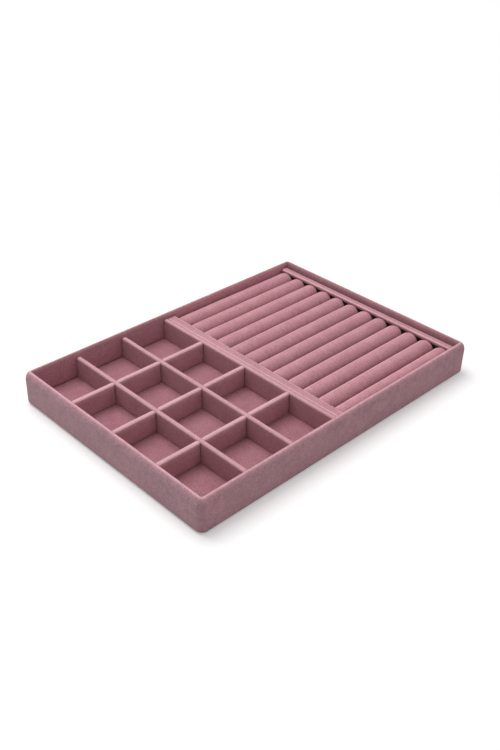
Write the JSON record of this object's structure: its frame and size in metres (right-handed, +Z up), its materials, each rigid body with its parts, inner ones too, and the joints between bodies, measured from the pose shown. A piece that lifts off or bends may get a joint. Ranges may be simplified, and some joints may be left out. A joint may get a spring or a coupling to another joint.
{
  "type": "jewelry tray",
  "caption": "Shallow velvet-covered tray with a lift-out lattice of square compartments on one side and a lift-out row of padded ring rolls on the other",
  "frame": {"origin": "centre of the underside, where the tray rests", "axes": "+X along the length, from the compartments to the ring rolls; +Y across, towards the back; +Z up"},
  "size_m": [0.35, 0.246, 0.034],
  "materials": {
    "frame_fibreboard": "raw medium density fibreboard",
    "base_fibreboard": "raw hardboard",
    "wrap_velvet": "short pile velvet, dusty pink",
    "floor_velvet": "short pile velvet, dusty pink",
    "divider_velvet": "short pile velvet, dusty pink",
    "strip_velvet": "short pile velvet, dusty pink",
    "roll_velvet": "short pile velvet, dusty pink, slightly shiny on the crests",
    "underside_lining": "thin flocked sheet, dusty pink",
    "divider_board": "dense grey board",
    "insert_card": "black card",
    "strip_foam": "firm black foam",
    "roll_foam": "soft pale foam"
  },
  "bodies": {
    "tray": {"rail_front": "frame_fibreboard", "rail_right": "frame_fibreboard", "rail_back": "frame_fibreboard", "rail_left": "frame_fibreboard", "base_board": "base_fibreboard", "velvet_wrap": "wrap_velvet", "underside_lining": "underside_lining", "floor_card": "insert_card", "floor_velvet": "floor_velvet"},
    "divider_lattice": {"long_divider_1_board": "divider_board", "long_divider_1_velvet": "divider_velvet", "long_divider_2_board": "divider_board", "long_divider_2_velvet": "divider_velvet", "long_divider_3_board": "divider_board", "long_divider_3_velvet": "divider_velvet", "cross_divider_1_board": "divider_board", "cross_divider_1_velvet": "divider_velvet", "cross_divider_2_board": "divider_board", "cross_divider_2_velvet": "divider_velvet", "cross_divider_3_board": "divider_board", "cross_divider_3_velvet": "divider_velvet"},
    "ring_insert": {"insert_card": "insert_card", "strip_left_core": "strip_foam", "strip_left_velvet": "strip_velvet", "strip_right_core": "strip_foam", "strip_right_velvet": "strip_velvet", "roll_01_foam": "roll_foam", "roll_01_velvet": "roll_velvet", "roll_02_foam": "roll_foam", "roll_02_velvet": "roll_velvet", "roll_03_foam": "roll_foam", "roll_03_velvet": "roll_velvet", "roll_04_foam": "roll_foam", "roll_04_velvet": "roll_velvet", "roll_05_foam": "roll_foam", "roll_05_velvet": "roll_velvet", "roll_06_foam": "roll_foam", "roll_06_velvet": "roll_velvet", "roll_07_foam": "roll_foam", "roll_07_velvet": "roll_velvet", "roll_08_foam": "roll_foam", "roll_08_velvet": "roll_velvet", "roll_09_foam": "roll_foam", "roll_09_velvet": "roll_velvet", "roll_10_foam": "roll_foam", "roll_10_velvet": "roll_velvet", "roll_11_foam": "roll_foam", "roll_11_velvet": "roll_velvet", "roll_12_foam": "roll_foam", "roll_12_velvet": "roll_velvet"}
  },
  "joints": [
    {"name": "lattice_lift", "type": "slide", "parent": "tray", "child": "divider_lattice", "axis": [0, 0, 1], "range_m": [0, 0.045]},
    {"name": "ring_insert_lift", "type": "slide", "parent": "tray", "child": "ring_insert", "axis": [0, 0, 1], "range_m": [0, 0.045]}
  ]
}
